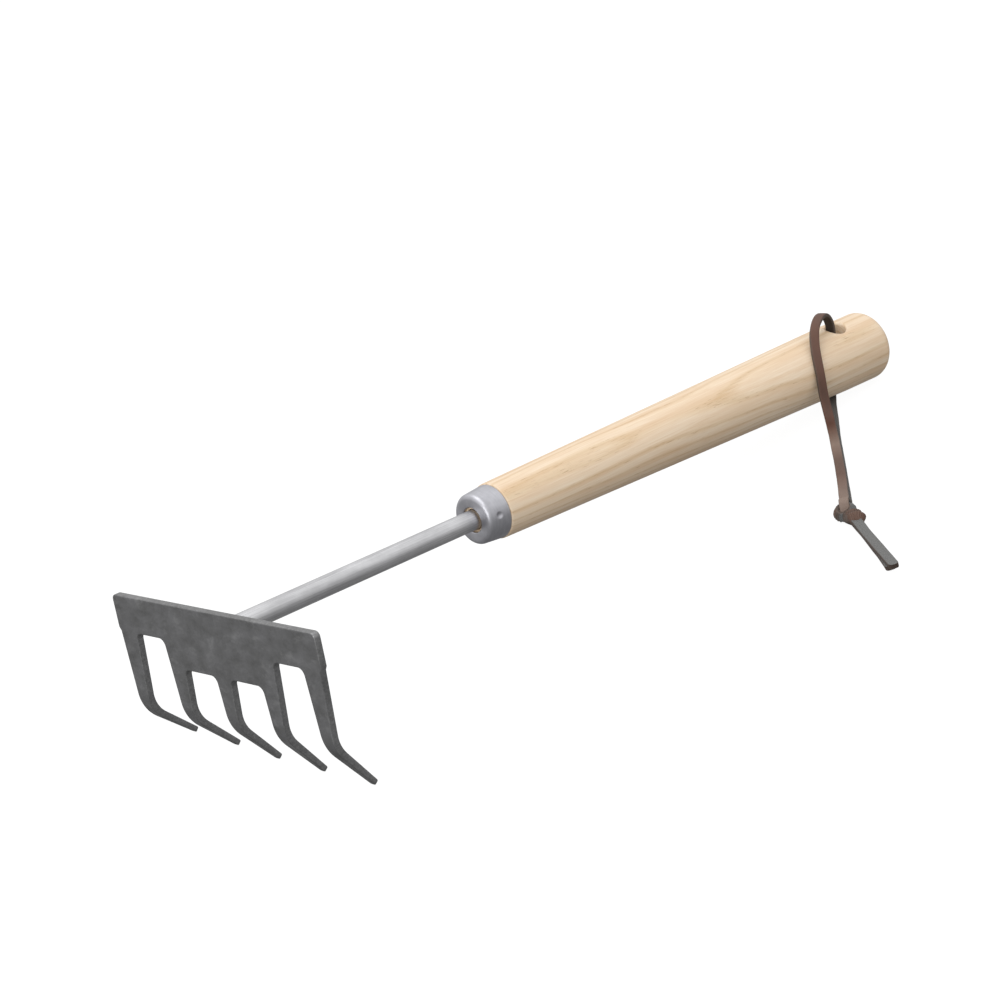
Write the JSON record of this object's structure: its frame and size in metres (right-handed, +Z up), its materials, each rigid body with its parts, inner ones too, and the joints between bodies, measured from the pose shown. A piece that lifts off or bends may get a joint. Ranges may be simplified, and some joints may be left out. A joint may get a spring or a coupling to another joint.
{
  "type": "hand rake",
  "caption": "Short garden hand rake: flat steel head with bent, tapered tines on a round shank, ferruled ash handle and knotted leather hanging loop.",
  "frame": {"origin": "centre of the base of the box round the rigid tool, on the surface that it lies on", "axes": "+Y from the head towards the butt of the handle, along the tool as it lies; +X along the head, towards the viewer's right as seen from the head's front; +Z up. The tool lies on its tine tips and the underside of its butt."},
  "size_m": [0.2064, 0.3656, 0.0651],
  "materials": {
    "head_steel": "dull grey satin, lightly mottled",
    "bright_steel": "bright satin",
    "weld_steel": "as welded, brushed over",
    "ash": "pale turned ash, oiled",
    "leather": "brown on the grain side, grey-brown suede on the other"
  },
  "bodies": {
    "root": {"rake_head": "head_steel", "shank": "bright_steel", "weld_bead": "weld_steel", "ferrule": "bright_steel", "handle": "ash", "lanyard_loop": "leather", "lanyard_knot": "leather", "lanyard_tail_upper": "leather", "lanyard_tail_lower": "leather"}
  },
  "joints": []
}
